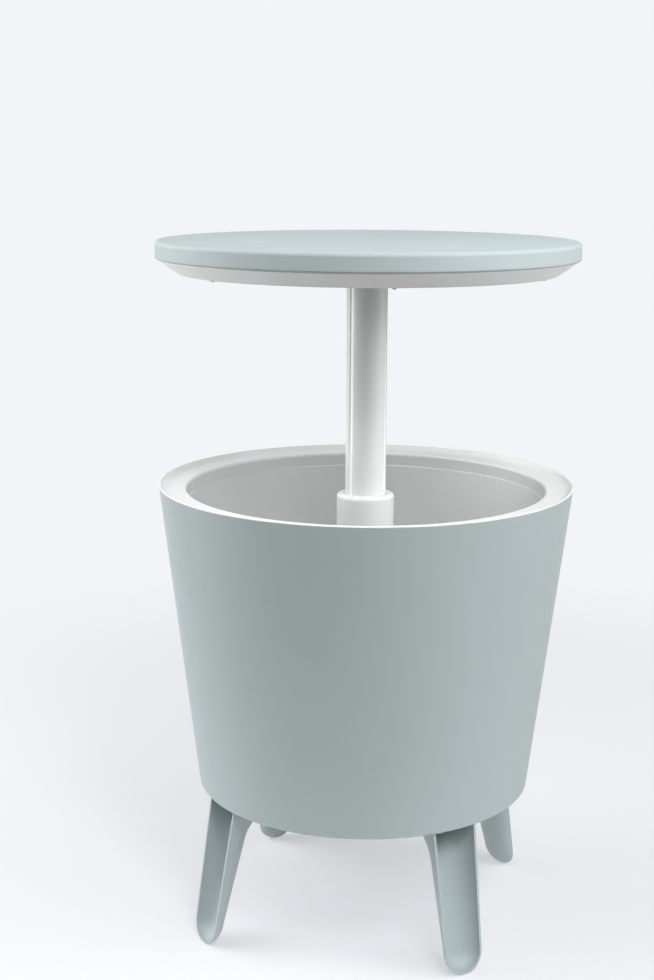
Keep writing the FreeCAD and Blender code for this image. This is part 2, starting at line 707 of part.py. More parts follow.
def build():
    os.makedirs("parts", exist_ok=True)
    save("outer_shell", outer_shell())
    save("inner_liner", inner_liner())
    save("liner_chimney", chimney())
    save("collar_cap", collar_cap())
    save("index_ring", index_ring())
    save("guide_base", guide_base())
    base_screw = screw_up(BASE_Z, GUIDE_FOOT_Z + 8)
    save("base_screws", circle_of(base_screw, BASE_SCREWS, BASE_SCREW_RING_R, BASE_SCREW_AZ))
    save("guide_tube", guide_tube())

    save("column", column())
    save("column_slider", column_slider())
    save("slider_screws", around(slider_screw(), GROOVES, GROOVE_AZ + 30))
    save("column_hub", column_hub())
    save("hub_screws", circle_of(screw_up(HUB_PLATE_Z, TOP_Z - 15.0), HUB_SCREWS, HUB_SCREW_RING_R))
    save("hub_clamp_screws", around(hub_clamp_screw(), GROOVES, GROOVE_AZ + 60))
    save("top_panel", top_panel())
    save("top_underside", top_underside())
    top_screw = screw_up(UNDERSIDE_Z + SCREW_WELL, TOP_Z - 17.0)
    save("top_screws", circle_of(top_screw, TOP_SCREWS, TOP_SCREW_RING_R, TOP_SCREW_AZ))
    save("lid_bumpers", circle_of(lid_bumper(), PADS, PAD_RING_R, PAD_AZ))

    one_leg = leg()
    for node, angle in LEGS.items():
        save(node, spun(one_leg, angle))
    save("leg_screws", at_leg_screws(screw_up(BASE_Z - LEG_ROOF, BASE_Z + LEG_BOSS_H)))

    save("drain_spout", placed(drain_spout(), DRAIN_R, DRAIN_AZ))
    gasket = ring(GASKET_R, SPOUT_R + RUN_GAP, LINER_FLOOR_Z, LINER_FLOOR_Z + GASKET_H)
    save("drain_gasket", placed(gasket, DRAIN_R, DRAIN_AZ))
    save("drain_nut", placed(drain_nut(), DRAIN_R, DRAIN_AZ))
    save("drain_plug", placed(drain_plug(), DRAIN_R, DRAIN_AZ))
    save("plug_seal", placed(plug_seal(), DRAIN_R, DRAIN_AZ))


build()
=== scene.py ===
import math

import bmesh
import bpy
from mathutils import Matrix, Vector


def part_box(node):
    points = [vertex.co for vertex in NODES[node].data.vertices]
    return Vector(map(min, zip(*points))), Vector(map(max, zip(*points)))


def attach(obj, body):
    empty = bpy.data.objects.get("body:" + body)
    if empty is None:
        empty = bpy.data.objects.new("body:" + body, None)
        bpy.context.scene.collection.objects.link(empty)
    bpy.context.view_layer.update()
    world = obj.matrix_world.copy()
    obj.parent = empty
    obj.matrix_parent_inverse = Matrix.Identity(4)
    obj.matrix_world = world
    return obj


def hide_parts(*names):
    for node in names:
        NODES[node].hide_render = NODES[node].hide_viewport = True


bl_info = {
    "name": "Ice Bucket Coffee Table",
    "version": (1, 0, 0),
    "blender": (4, 5, 0),
    "location": "3D View > Sidebar > Ice Table",
    "description": "Models and finishes a round tub table whose top lifts on a column",
    "category": "Object",
}

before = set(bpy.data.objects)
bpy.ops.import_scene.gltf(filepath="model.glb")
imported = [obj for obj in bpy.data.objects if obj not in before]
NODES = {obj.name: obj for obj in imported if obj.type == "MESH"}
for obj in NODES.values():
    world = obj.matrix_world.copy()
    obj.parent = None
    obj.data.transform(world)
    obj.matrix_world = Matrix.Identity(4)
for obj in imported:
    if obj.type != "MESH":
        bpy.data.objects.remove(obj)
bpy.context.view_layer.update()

# Places that the frame gives, in metres
SHELL_LOW, SHELL_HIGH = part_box("outer_shell")
LINER_LOW, LINER_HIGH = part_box("inner_liner")
CHIMNEY_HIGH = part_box("liner_chimney")[1]
COLLAR_LOW, COLLAR_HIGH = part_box("collar_cap")
COLUMN_LOW, COLUMN_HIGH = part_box("column")
PANEL_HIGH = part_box("top_panel")[1]
DISH_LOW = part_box("top_underside")[0]
PADS_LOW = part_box("lid_bumpers")[0]
SPOUT_LOW, SPOUT_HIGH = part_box("drain_spout")
DRAIN_CENTRE = (SPOUT_LOW + SPOUT_HIGH) / 2

# How fine the modelling is
LATHE_STEPS = 192
TUBE_STEPS = 96
LEG_STEPS = 64
SMALL_STEPS = 40
ARC_STEP = math.radians(15)
SMOOTH_ANGLE = math.radians(32)

# How far an outline's extra points stand from its arcs, and how close points are to merge, in metres
HOLD = 0.0012
WELD = 0.00001

# Room between parts that fit together, in metres
LINER_PLAY = 0.00035
CHIMNEY_PLAY = 0.0001
COLLAR_PLAY = 0.0004
DISH_PLAY = 0.00035

# The drain's hole, and how far bars and blocks reach past or into what they cut or join, in metres
DRAIN_HOLE_RADIUS = 0.01135
CUT_PAST = 0.01
OVERLAP = 0.001

# How far wear reaches from an edge, in metres
WORN_REACH = 0.005

# Where each leg stands round the tub, in degrees
LEG_ANGLES = {
    "leg_rear_right": 45,
    "leg_rear_left": 135,
    "leg_front_left": 225,
    "leg_front_right": 315,
}

# Each lamp's heading and rise in degrees, and its distance and size in metres
LAMPS = {
    "key": (15, 46, 2.4, 0.5),
    "front": (15, 26, 2.2, 1.2),
    "right": (86, 12, 2.2, 1.2),
    "right_near": (58, 40, 1.5, 0.9),
    "right_rear": (115, 22, 2.2, 1.2),
    "left": (-90, 8, 2.2, 1.2),
    "left_high": (-80, 50, 2.4, 1.4),
    "left_rear": (-115, 22, 2.2, 1.2),
    "overhead": (0, 88, 2.2, 1.6),
}


def linear(red, green, blue):
    """A colour on the 0 to 255 screen scale, as the linear values that shaders take."""
    values = []
    for level in (red, green, blue):
        share = level / 255
        values.append(share / 12.92 if share <= 0.04045 else ((share + 0.055) / 1.055) ** 2.4)
    return tuple(values) + (1.0,)


def length(name, description, default):
    return bpy.props.FloatProperty(name=name, description=description, default=default, min=0.0,
                                   precision=4, unit="LENGTH", subtype="DISTANCE")


def angle(name, description, degrees):
    return bpy.props.FloatProperty(name=name, description=description, default=math.radians(degrees),
                                   unit="ROTATION", subtype="ANGLE")


def number(name, description, default):
    return bpy.props.IntProperty(name=name, description=description, default=default, min=1)


def level(name, description, default):
    return bpy.props.FloatProperty(name=name, description=description, default=default, min=0.0, max=1.0)


def colour(name, description, red, green, blue):
    return bpy.props.FloatVectorProperty(name=name, description=description, size=4, min=0.0, max=1.0,
                                         default=linear(red, green, blue), subtype="COLOR")


def power(name, description, watts):
    return bpy.props.FloatProperty(name=name, description=description, default=watts, min=0.0,
                                   unit="POWER", subtype="POWER")


class TubSizes(bpy.types.PropertyGroup):
    """Sizes of the tub's outer shell, liner and collar"""

    rim_radius: length("Rim radius", "Outside radius of the tub at its rim", LINER_HIGH.x)
    rim_height: length("Rim height", "Top of the rim above the floor", LINER_HIGH.z)
    shell_height: length("Shell height", "Top of the outer shell, under the rolled edge", SHELL_HIGH.z)
    base_radius: length("Base radius", "Outside radius of the tub at its bottom", 0.2018)
    base_height: length("Base height", "Bottom of the tub above the floor", SHELL_LOW.z)
    wall: length("Wall", "Thickness of the shell and of the liner", 0.0026)
    lip: length("Lip", "Width of the shell's upper edge outside the liner's flange", 0.0016)
    roll_height: length("Roll height", "Height of the liner's edge that is rolled over the shell", 0.0012)
    roll_width: length("Roll width", "Width of the rolled edge's top", 0.0022)
    roll_foot: length("Roll foot", "Radius where the rolled edge meets the flange", 0.2415)
    roll_curve: length("Roll curve", "Radius of the curve from the rolled edge to the flange", 0.008)
    ledge_radius: length("Ledge radius", "Inside radius of the ledge that the flange sits on", 0.2395)
    flange_height: length("Flange height", "Top of the liner's flange above the floor", LINER_HIGH.z - 0.0056)
    mouth_radius: length("Mouth radius", "Radius of the opening inside the flat rim", 0.2146)
    step_height: length("Step height", "Height of the small step inside the mouth", LINER_HIGH.z - 0.0216)
    step_width: length("Step width", "How far the liner steps in below its mouth", 0.0022)
    floor_height: length("Floor height", "Inside floor of the liner above the ground", LINER_LOW.z + 0.0026)
    floor_radius: length("Floor radius", "Inside radius of the liner at its floor", 0.1855)
    chimney_radius: length("Chimney radius", "Outside radius of the liner's chimney", 0.032)
    chimney_bore: length("Chimney bore", "Inside radius of the liner's chimney", 0.0298)
    chimney_height: length("Chimney height", "Top of the chimney above the floor", CHIMNEY_HIGH.z)
    chimney_foot: length("Chimney foot", "Radius of the flange at the chimney's foot", 0.044)
    foot_thickness: length("Foot thickness", "Thickness of the flange at the chimney's foot", 0.0026)
    collar_radius: length("Collar radius", "Outside radius of the cap on the chimney", COLLAR_HIGH.x)
    collar_height: length("Collar height", "Top of the cap above the floor", COLLAR_HIGH.z)
    collar_round: length("Collar rounding", "Radius of the cap's shoulder", 0.005)


class TopSizes(bpy.types.PropertyGroup):
    """Sizes of the table top, its column and its pads"""

    radius: length("Radius", "Outside radius of the table top", PANEL_HIGH.x)
    height: length("Height", "Top face above the floor, raised", PANEL_HIGH.z)
    edge: length("Edge", "Height of the top's edge band", 0.021)
    edge_round: length("Edge rounding", "Radius of the edge band's upper corner", 0.0045)
    edge_under: length("Lower rounding", "Radius of the edge band's lower corner", 0.0022)
    wall: length("Wall", "Thickness of the panel", 0.0028)
    skirt: length("Skirt", "Thickness of the edge band", 0.003)
    seam: length("Seam", "Gap between the edge band and the lower shell", 0.0009)
    seam_drop: length("Seam drop", "Height of the shadow line under the edge band", 0.0014)
    seam_rise: length("Seam rise", "How far the lower shell stands up inside the edge band", 0.004)
    dish_height: length("Dish height", "Bottom of the lower shell above the floor", DISH_LOW.z)
    dish_wall: length("Dish wall", "Thickness of the lower shell", 0.0026)
    dish_inset: length("Dish inset", "How far in the lower shell's flat bottom starts", 0.0265)
    dish_round: length("Dish rounding", "Radius of the lower shell's bottom corner", 0.012)
    column_radius: length("Column radius", "Outside radius of the column", COLUMN_HIGH.y)
    column_wall: length("Column wall", "Thickness of the column's tube", 0.003)
    groove_width: length("Groove width", "Width of the column's grooves", 0.005)
    groove_depth: length("Groove depth", "Depth of the column's grooves", 0.0012)
    groove_angle: angle("Groove angle", "Where the first groove stands round the column", -6)
    grooves: number("Grooves", "Grooves round the column", 3)
    screws: number("Screws", "Screw wells in the lower shell", 8)
    screw_ring: length("Screw ring", "Radius of the ring of screw wells", 0.195)
    screw_angle: angle("Screw angle", "Where the first screw well stands", 22.5)
    pads: number("Pads", "Soft pads on the lower shell", 6)
    pad_ring: length("Pad ring", "Radius of the ring of soft pads", 0.2135)
    pad_angle: angle("Pad angle", "Where the first pad stands", -70)
    pad_radius: length("Pad radius", "Radius of one soft pad", 0.0022)


class LegSizes(bpy.types.PropertyGroup):
    """Sizes of one scooped leg"""

    wall: length("Wall", "Thickness of the leg's wall", 0.0028)
    roof: length("Roof", "Thickness of the plate that is screwed to the tub", 0.004)
    foot_radius: length("Foot radius", "How far out the open face stands at the floor", 0.2246)
    head_radius: length("Head radius", "How far out the open face stands under the tub", 0.1971)
    foot_half_width: length("Foot half width", "Half the leg's width above its rounded tip", 0.0253)
    head_half_width: length("Head half width", "Half the leg's width under the tub", 0.0295)
    tip_height: length("Tip height", "Height of the rounded tip", 0.0253)
    tip_depth: length("Tip depth", "Depth of the scoop above the tip", 0.020)
    taper: length("Taper", "How much deeper the scoop gets towards the tub", 0.0197)
    flare: length("Flare", "How far the back sweeps in under the tub", 0.050)
    flare_height: length("Flare height", "Where the back starts to sweep in", 0.126)
    notch: length("Notch", "How far the roof is set back from the open face", 0.0065)
    foot_flat: length("Foot flat", "How much of the tip is flattened where it stands", 0.0005)
    rim_round: length("Rim rounding", "Radius of the edges of the leg's rim", 0.0009)


class Finishes(bpy.types.PropertyGroup):
    """Colours of the plastics, the rubber and the steel"""

    shell: colour("Shell", "Grey-green plastic of the tub, top and legs", 157, 168, 169)
    pale: colour("Pale", "Pale plastic of the top's lower shell", 235, 235, 234)
    liner: colour("Liner", "Pale grey plastic of the liner and the collar", 216, 217, 217)
    column: colour("Column", "Pale grey plastic of the column", 224, 225, 224)
    inner: colour("Inner", "Grey plastic of the guides inside", 170, 172, 174)
    drain: colour("Drain", "Grey plastic of the drain", 158, 162, 165)
    rubber: colour("Rubber", "Soft pads and seals", 196, 196, 193)
    steel: colour("Steel", "Zinc-plated screws", 196, 197, 200)


class StageSettings(bpy.types.PropertyGroup):
    """Floor, lamps and the camera"""

    floor_size: length("Floor size", "Half the width of the floor", 12.0)
    floor_colour: colour("Floor colour", "Pale floor", 221, 222, 226)
    bounce_colour: colour("Bounce colour", "Colour of the light that the floor throws back up", 248, 249, 250)
    air_colour: colour("Background", "Pale background", 243, 244, 248)
    shadow_fill: level("Shadow fill", "How far the floor's shadows are filled in", 0.5)
    bounce_reach: length("Bounce reach", "How far from the table the floor throws light back up", 1.15)
    ambient: level("Ambient", "Level of the soft light from all round", 0.02)
    key: power("Key lamp", "Small soft box high in front", 21.0)
    front: power("Front lamp", "Soft box low in front", 10.5)
    right: power("Right lamp", "Low soft box at the right", 14.5)
    right_near: power("Near right lamp", "Soft box close and high at the right", 13.0)
    right_rear: power("Right rear lamp", "Weak soft box at the right, behind", 4.5)
    left: power("Left lamp", "Low soft box at the left", 25.0)
    left_high: power("High left lamp", "Soft box high at the left", 26.0)
    left_rear: power("Left rear lamp", "Soft box at the left, behind", 19.0)
    overhead: power("Overhead lamp", "Weak soft box overhead", 7.0)
    camera_place: bpy.props.FloatVectorProperty(name="Camera place", description="Where the camera stands",
                                                default=(0.4127, -1.8704, 0.9294), subtype="TRANSLATION",
                                                unit="LENGTH")
    camera_tilt: angle("Camera tilt", "Angle of the view from straight down", 78.213)
    camera_heading: angle("Camera heading", "Angle of the view round the table", 13.825)
    camera_roll: angle("Camera roll", "Turn of the view about its own line", 0.269)
    camera_lens: bpy.props.FloatProperty(name="Lens", description="Focal length on a 36 mm high frame, in mm",
                                         default=59.74, min=1.0, unit="CAMERA")


def settings(name):
    return getattr(bpy.context.scene, "ice_table_" + name)


# Outlines and modelling steps

def rounded(corners):
    """Points of a closed outline through corners (a, b, radius), with an arc wherever there is a radius.
    A point a little before and after each arc keeps the shading of the long flats straight."""
    count = len(corners)
    bends = []
    for i, (a, b, radius) in enumerate(corners):
        here = Vector((a, b))
        before = (Vector(corners[i - 1][:2]) - here).normalized()
        after = (Vector(corners[(i + 1) % count][:2]) - here).normalized()
        half = before.angle(after) / 2 if radius else math.pi / 2
        bends.append((here, before, after, half, radius, radius / math.tan(half) if radius else 0.0))
    points = []
    for i, (here, before, after, half, radius, reach) in enumerate(bends):
        if radius == 0:
            points.append(here)
            continue
        last_place, *_, last_reach = bends[i - 1]
        next_place, *_, next_reach = bends[(i + 1) % count]
        room_before = (last_place - here).length - reach - last_reach
        room_after = (next_place - here).length - reach - next_reach
        centre = here + (before + after).normalized() * radius / math.sin(half)
        start = here + before * reach - centre
        turn = math.pi - 2 * half
        side = 1 if before.x * after.y - before.y * after.x < 0 else -1
        steps = max(2, math.ceil(turn / ARC_STEP))
        if room_before > 3 * WELD:
            points.append(centre + start + before * min(HOLD, room_before / 3))
        for k in range(steps + 1):
            points.append(centre + Matrix.Rotation(side * turn * k / steps, 2) @ start)
        if room_after > 3 * WELD:
            points.append(here + after * (reach + min(HOLD, room_after / 3)))
    return points


def on_circle(radius, turn):
    """A point (x, y) on a circle about the Z axis."""
    return radius * math.cos(turn), radius * math.sin(turn)


def select_nothing():
    bpy.ops.object.select_all(action="DESELECT")


def only(piece):
    """Selects one object and makes it the active one."""
    select_nothing()
    piece.select_set(True)
    bpy.context.view_layer.objects.active = piece


def in_edit_mode():
    bpy.ops.object.mode_set(mode="EDIT")
    bpy.ops.mesh.select_mode(type="VERT")


def out_of_edit_mode():
    bpy.ops.object.mode_set(mode="OBJECT")


def select_mesh():
    bpy.ops.mesh.select_all(action="SELECT")


def weld():
    """Merges the points of the piece in edit mode that are closer together than WELD."""
    select_mesh()
    bpy.ops.mesh.remove_doubles(threshold=WELD)


def extrude(step):
    """Extrudes what is selected in edit mode by a step (x, y, z)."""
    bpy.ops.mesh.extrude_region_move(TRANSFORM_OT_translate={"value": step})


def facing_out():
    """Turns all faces of the piece in edit mode outwards, and leaves edit mode."""
    select_mesh()
    bpy.ops.mesh.normals_make_consistent(inside=False)
    out_of_edit_mode()


def named(piece, name):
    piece.name = name
    piece.data.name = name
    return piece


def smooth(piece):
    """Shades a piece smooth, with its sharp corners kept."""
    only(piece)
    bpy.ops.object.shade_smooth_by_angle(angle=SMOOTH_ANGLE)
    return piece


def drawn_line(name, points):
    """A new piece, in edit mode: one vertex drawn along points in space, and closed on its start."""
    select_nothing()
    bpy.ops.mesh.primitive_plane_add(size=WELD * 10, location=(0, 0, 0))
    piece = named(bpy.context.object, name)
    in_edit_mode()
    select_mesh()
    bpy.ops.mesh.merge(type="CENTER")
    bpy.ops.transform.translate(value=points[0])
    for here, following in zip(points, points[1:]):
        extrude(following - here)
    return piece


def lathed(name, outline, steps, closed=True):
    """A turned piece: its outline (radius, height) is drawn, then spun about the Z axis."""
    points = [Vector((radius, 0, height)) for radius, height in outline]
    piece = drawn_line(name, points + points[:1] if closed else points)
    select_mesh()
    bpy.ops.mesh.spin(steps=steps, angle=math.tau, center=(0, 0, 0), axis=(0, 0, 1))
    weld()
    facing_out()
    return smooth(piece)


def select_where(piece, kind, wanted):
    """In edit mode, selects the edges (kind EDGE) or the faces (kind FACE) for which wanted is true."""
    bpy.ops.mesh.select_mode(type=kind)
    bpy.ops.mesh.select_all(action="DESELECT")
    mesh = bmesh.from_edit_mesh(piece.data)
    for element in mesh.faces if kind == "FACE" else mesh.edges:
        element.select_set(wanted(element))
    mesh.select_flush_mode()
    bmesh.update_edit_mesh(piece.data)


def applied(piece, kind, **options):
    """Adds a modifier, sets it and applies it."""
    only(piece)
    modifier = piece.modifiers.new(kind.lower(), kind)
    for option, value in options.items():
        setattr(modifier, option, value)
    bpy.ops.object.modifier_apply(modifier=modifier.name)


def pin(radius, low, high, x, y):
    """An upright round bar, for cutting a hole or for a boss."""
    select_nothing()
    bpy.ops.mesh.primitive_cylinder_add(vertices=SMALL_STEPS, radius=radius, depth=high - low,
                                        location=(x, y, (low + high) / 2))
    return bpy.context.object


def combined(piece, tools, operation):
    """Cuts each tool out of the piece, or joins it on, and removes the tool."""
    for tool in tools:
        applied(piece, "BOOLEAN", object=tool, operation=operation, solver="EXACT")
        bpy.data.objects.remove(tool)
    return smooth(piece)


def drain_hole_cut(piece, low, high):
    """Cuts the drain's hole through a floor that lies between two heights."""
    hole = pin(DRAIN_HOLE_RADIUS, low - CUT_PAST, high + CUT_PAST, DRAIN_CENTRE.x, DRAIN_CENTRE.y)
    combined(piece, [hole], "DIFFERENCE")


def ring_of_pins(count, ring_radius, first, radius, low, high):
    """Upright round bars, evenly spaced round the Z axis from the angle of the first."""
    bars = []
    for i in range(count):
        turn = first + math.tau * i / count
        bars.append(pin(radius, low, high, *on_circle(ring_radius, turn)))
    return bars


def turned_copy(piece, name, turn):
    """A copy with its own mesh, turned about the Z axis, with the turn applied to the mesh."""
    only(piece)
    bpy.ops.object.duplicate(linked=False)
    copy = named(bpy.context.object, name)
    copy.rotation_euler = (0, 0, turn)
    bpy.ops.object.transform_apply(location=False, rotation=True, scale=False)
    return copy


def fitted(piece, body, slot, material, *nodes):
    """Dresses a piece, lets it ride on a body, and lets it stand for CAD nodes."""
    piece.data.materials.clear()
    piece.data.materials.append(material)
    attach(piece, body)
    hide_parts(*nodes)


# Materials

def feed(tree, node, inputs):
    """Sets a node's inputs, and links those whose value is another node's output."""
    for socket, value in inputs.items():
        if isinstance(value, bpy.types.NodeSocket):
            tree.links.new(value, node.inputs[socket])
        else:
            node.inputs[socket].default_value = value


def add_node(tree, kind, inputs=None, **options):
    """Adds a node and sets its options, then its inputs."""
    node = tree.nodes.new(kind)
    for option, value in options.items():
        setattr(node, option, value)
    feed(tree, node, inputs or {})
    return node


class Recipe:
    """A new material, with short ways to add and link its nodes."""

    MIX_FACTOR = 0
    MIX_FIRST = 6
    MIX_SECOND = 7
    MIX_RESULT = 2

    def __init__(self, name):
        self.material = bpy.data.materials.new(name)
        self.material.use_nodes = True
        self.tree = self.material.node_tree
        self.shader = self.tree.nodes["Principled BSDF"]
        self.place = self.add("ShaderNodeTexCoord").outputs["Object"]

    def add(self, kind, inputs=None, **options):
        return add_node(self.tree, kind, inputs, **options)

    def noise(self, scale, detail=2.0, stretch=(1, 1, 1)):
        """Noise at a scale per metre, stretched along an axis where its share is below one."""
        spread = self.add("ShaderNodeMapping", {"Vector": self.place, "Scale": stretch})
        levels = {"Vector": spread.outputs[0], "Scale": scale, "Detail": detail}
        return self.add("ShaderNodeTexNoise", levels).outputs[0]

    def ramp(self, value, low, high, result_low=0.0, result_high=1.0):
        """Turns a value between two levels into another pair of levels, smoothly."""
        levels = {"Value": value, "From Min": low, "From Max": high,
                  "To Min": result_low, "To Max": result_high}
        return self.add("ShaderNodeMapRange", levels, interpolation_type="SMOOTHSTEP").outputs[0]

    def math(self, operation, first, second=0.0):
        return self.add("ShaderNodeMath", {0: first, 1: second}, operation=operation).outputs[0]

    def blend(self, factor, first, second):
        """Blends two colours by a factor."""
        colours = {self.MIX_FACTOR: factor, self.MIX_FIRST: first, self.MIX_SECOND: second}
        return self.add("ShaderNodeMix", colours, data_type="RGBA").outputs[self.MIX_RESULT]

    def height(self):
        return self.add("ShaderNodeSeparateXYZ", {0: self.place}).outputs[2]

    def radius(self):
        """Distance from the Z axis."""
        flat = self.add("ShaderNodeVectorMath", {0: self.place, 1: (1, 1, 0)}, operation="MULTIPLY")
        return self.add("ShaderNodeVectorMath", {0: flat.outputs[0]}, operation="LENGTH").outputs["Value"]

    def near_circle(self, radius, height, reach):
        """One on a level circle about the Z axis, fading to nothing at a reach from it."""
        out = self.math("SUBTRACT", self.radius(), radius)
        up = self.math("SUBTRACT", self.height(), height)
        squares = self.math("ADD", self.math("MULTIPLY", out, out), self.math("MULTIPLY", up, up))
        full_within = reach * 0.35
        return self.ramp(self.math("SQRT", squares), reach, full_within)

    def grain(self, *layers):
        """Bumps laid over each other, each a (height, depth in metres) pair."""
        below = None
        for height, depth in layers:
            sockets = {"Height": height, "Distance": depth, "Strength": 1.0}
            if below is not None:
                sockets["Normal"] = below
            below = self.add("ShaderNodeBump", sockets).outputs[0]
        self.tree.links.new(below, self.shader.inputs["Normal"])

    def set(self, **sockets):
        """Feeds the shader's sockets, each named with underscores for its spaces."""
        feed(self.tree, self.shader, {name.replace("_", " "): value for name, value in sockets.items()})


def shade_of(tint, level):
    """A colour made lighter or darker by a factor."""
    return tuple(min(1.0, value * level) for value in tint[:3]) + (1.0,)


def moulded(name, tint, roughness, worn_edge=None, scuffs=0.35, painted_highlight_inside=None, painted_shade_below=None):
    """Moulded plastic: a fine spark grain, slow changes of tone and gloss as the melt flowed,
    an edge rubbed paler where worn_edge gives its circle (radius, height, reach), a painted highlight
    that makes grooves paler where they lie within a given radius, and painted shade that makes the
    wall darker, with a rougher finish, below a given height."""
    recipe = Recipe(name)
    flow = recipe.noise(5.0, 3.0, (1, 1, 0.5))
    cloud = recipe.noise(34.0, 3.0)
    speck = recipe.noise(1500.0, 1.0)
    tone = recipe.blend(recipe.ramp(flow, 0.3, 0.7), shade_of(tint, 0.97), shade_of(tint, 1.025))
    tone = recipe.blend(recipe.ramp(speck, 0.35, 0.65, 0.0, 0.10), tone, shade_of(tint, 0.86))
    gloss = recipe.ramp(cloud, 0.3, 0.7, roughness - 0.03, roughness + 0.04)
    # A paler tint, both for worn edges and for the grooves' painted highlight
    wear_and_highlight_tint = shade_of(tint, 1.35)
    if worn_edge:
        edge = recipe.near_circle(*worn_edge)
        broken = recipe.ramp(recipe.noise(120.0, 4.0), 0.42, 0.66)
        rubbed = recipe.math("MULTIPLY", edge, recipe.math("MULTIPLY", broken, scuffs))
        tone = recipe.blend(rubbed, tone, wear_and_highlight_tint)
        gloss = recipe.math("ADD", gloss, recipe.math("MULTIPLY", rubbed, 0.25))
    # Painted highlight: the grooves' floors are painted paler in lengthwise streaks, standing for the light
    # they catch
    if painted_highlight_inside:
        streaks = recipe.ramp(recipe.noise(90.0, 3.0, (1, 1, 0.04)), 0.3, 0.6, 0.6, 1.0)
        full_inside = painted_highlight_inside - 0.0003
        inside = recipe.ramp(recipe.radius(), painted_highlight_inside, full_inside)
        tone = recipe.blend(recipe.math("MULTIPLY", inside, streaks), tone, wear_and_highlight_tint)
    # Painted shade: below the given height the wall is painted darker, and its finish is made rougher
    if painted_shade_below:
        full_below = painted_shade_below - 0.004
        shade_and_matt = recipe.ramp(recipe.height(), painted_shade_below, full_below)
        tone = recipe.blend(shade_and_matt, tone, shade_of(tint, 0.8))
        gloss = recipe.math("ADD", gloss, recipe.math("MULTIPLY", shade_and_matt, 0.1))
    recipe.set(Base_Color=tone, Roughness=gloss, IOR=1.49)
    recipe.grain((cloud, 0.00003), (speck, 0.00002))
    return recipe.material


def soft_rubber(name, tint):
    """Dull rubber with a fine powdery surface."""
    recipe = Recipe(name)
    cloud = recipe.noise(260.0, 3.0)
    tone = recipe.blend(recipe.ramp(cloud, 0.3, 0.7), shade_of(tint, 0.93), shade_of(tint, 1.03))
    recipe.set(Base_Color=tone, Roughness=recipe.ramp(cloud, 0.3, 0.7, 0.72, 0.86), IOR=1.5)
    recipe.grain((recipe.noise(2600.0, 2.0), 0.00003))
    return recipe.material


def zinc_steel(name, tint):
    """Zinc plate over turned steel: fine streaks and a patchy bloom."""
    recipe = Recipe(name)
    bloom = recipe.noise(420.0, 3.0)
    streak = recipe.noise(2400.0, 2.0, (1, 1, 0.2))
    tone = recipe.blend(recipe.ramp(bloom, 0.35, 0.7), shade_of(tint, 0.86), tint)
    recipe.set(Base_Color=tone, Metallic=1.0, Roughness=recipe.ramp(bloom, 0.3, 0.7, 0.28, 0.46))
    recipe.grain((streak, 0.00001))
    return recipe.material


# Pieces of the tub

def shell_radius(sizes, height):
    """Outside radius of the tub at a height."""
    share = (height - sizes.base_height) / (sizes.rim_height - sizes.base_height)
    return sizes.base_radius + (sizes.rim_radius - sizes.base_radius) * share


class TubShell(bpy.types.Operator):
    """Models the tub's tapering outer shell, with its thin upper edge and the ledge inside"""

    bl_idname = "ice_table.tub_shell"
    bl_label = "Tub shell"

    def execute(self, context):
        sizes = settings("tub")
        base_wall = 0.003
        ledge_depth = 0.004
        floor = sizes.base_height + base_wall
        lip = sizes.rim_radius - sizes.lip
        seat = sizes.flange_height - sizes.wall
        ledge = seat - ledge_depth
        outline = rounded([
            (0, sizes.base_height, 0),
            (sizes.base_radius, sizes.base_height, 0.003),
            (shell_radius(sizes, sizes.shell_height), sizes.shell_height, 0.0004),
            (lip, sizes.shell_height, 0.0003),
            (lip, seat, 0),
            (sizes.ledge_radius, seat, 0.0005),
            (sizes.ledge_radius, ledge, 0.0005),
            (shell_radius(sizes, ledge) - sizes.wall, ledge, 0),
            (shell_radius(sizes, floor) - sizes.wall, floor, 0.006),
            (0, floor, 0),
        ])
        shell = lathed("tub_shell", outline, LATHE_STEPS, closed=False)
        drain_hole_cut(shell, sizes.base_height, floor)
        foot = (sizes.base_radius, sizes.base_height, WORN_REACH)
        plastic = moulded("shell plastic of the tub", settings("finishes").shell, 0.5, foot)
        fitted(shell, "tub", "shell_plastic", plastic, "outer_shell")
        return {"FINISHED"}


